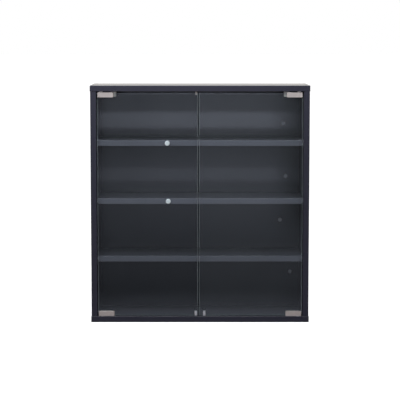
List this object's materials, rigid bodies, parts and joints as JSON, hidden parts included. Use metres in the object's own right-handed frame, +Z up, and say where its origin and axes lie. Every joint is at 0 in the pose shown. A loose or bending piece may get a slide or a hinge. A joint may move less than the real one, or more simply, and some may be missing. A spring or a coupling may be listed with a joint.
{
  "type": "display cabinet",
  "caption": "Shallow china cabinet of dark coated board with shelves behind a pair of inset frameless glass doors on corner pivot hinges.",
  "frame": {"origin": "on the surface the cabinet stands on, under the middle of the case", "axes": "+Z up, the doors face -Y, +X to the right seen from the front"},
  "size_m": [0.6, 0.18, 0.652],
  "materials": {
    "board": "anthracite blue-black coated board, satin",
    "back_board": "anthracite coated hardboard, satin",
    "glass": "clear float glass with ground edges",
    "nickel": "satin nickel plated",
    "chrome": "bright chrome plated sheet",
    "steel": "zinc plated steel",
    "white_plastic": "white moulded nylon",
    "milky_plastic": "milky soft plastic",
    "grey_plastic": "grey moulded plastic",
    "black_plastic": "black moulded plastic",
    "beech": "plain turned beech"
  },
  "bodies": {
    "case": {"bottom_panel": "board", "top_panel": "board", "left_side": "board", "right_side": "board", "back_panel": "back_board", "shelf_lower": "board", "shelf_middle": "board", "shelf_upper": "board", "dowel_lower_left_front": "beech", "dowel_lower_left_rear": "beech", "dowel_lower_right_front": "beech", "dowel_lower_right_rear": "beech", "dowel_middle_left_front": "beech", "dowel_middle_left_rear": "beech", "dowel_middle_right_front": "beech", "dowel_middle_right_rear": "beech", "dowel_upper_left_front": "beech", "dowel_upper_left_rear": "beech", "dowel_upper_right_front": "beech", "dowel_upper_right_rear": "beech", "case_screw_top_left_front": "steel", "case_screw_top_left_rear": "steel", "case_screw_top_right_front": "steel", "case_screw_top_right_rear": "steel", "case_screw_bottom_left_front": "steel", "case_screw_bottom_left_rear": "steel", "case_screw_bottom_right_front": "steel", "case_screw_bottom_right_rear": "steel", "pivot_bush_left_top": "white_plastic", "pivot_bush_left_bottom": "white_plastic", "pivot_bush_right_top": "white_plastic", "pivot_bush_right_bottom": "white_plastic", "stop_block_left": "white_plastic", "stop_block_right": "white_plastic", "top_stop_tab": "nickel", "latch_body": "black_plastic", "buffer_upper": "milky_plastic", "buffer_middle": "milky_plastic", "wall_cap_1": "grey_plastic", "wall_cap_2": "grey_plastic", "wall_cap_3": "grey_plastic", "wall_cap_4": "grey_plastic"},
    "left_door": {"left_glass": "glass", "clamp_left_top": "nickel", "clamp_left_bottom": "nickel", "clamp_screw_left_top": "steel", "clamp_screw_left_bottom": "steel", "pivot_pin_left_top": "steel", "pivot_pin_left_bottom": "steel", "strike_clip_left": "chrome"},
    "right_door": {"right_glass": "glass", "clamp_right_top": "nickel", "clamp_right_bottom": "nickel", "clamp_screw_right_top": "steel", "clamp_screw_right_bottom": "steel", "pivot_pin_right_top": "steel", "pivot_pin_right_bottom": "steel", "strike_clip_right": "chrome"},
    "left_plunger": {"latch_plunger_left": "steel"},
    "right_plunger": {"latch_plunger_right": "steel"}
  },
  "joints": [
    {"name": "left_door_hinge", "type": "hinge", "parent": "case", "child": "left_door", "pos_m": [-0.27, -0.082, 0.326], "axis": [0, 0, -1], "range_deg": [0, 110]},
    {"name": "right_door_hinge", "type": "hinge", "parent": "case", "child": "right_door", "pos_m": [0.27, -0.082, 0.326], "axis": [0, 0, 1], "range_deg": [0, 110]},
    {"name": "left_plunger_slide", "type": "slide", "parent": "case", "child": "left_plunger", "axis": [0, 1, 0], "range_m": [0, 0.003], "stiffness_N_per_m": 300, "springref_m": -0.006},
    {"name": "right_plunger_slide", "type": "slide", "parent": "case", "child": "right_plunger", "axis": [0, 1, 0], "range_m": [0, 0.003], "stiffness_N_per_m": 300, "springref_m": -0.006}
  ]
}
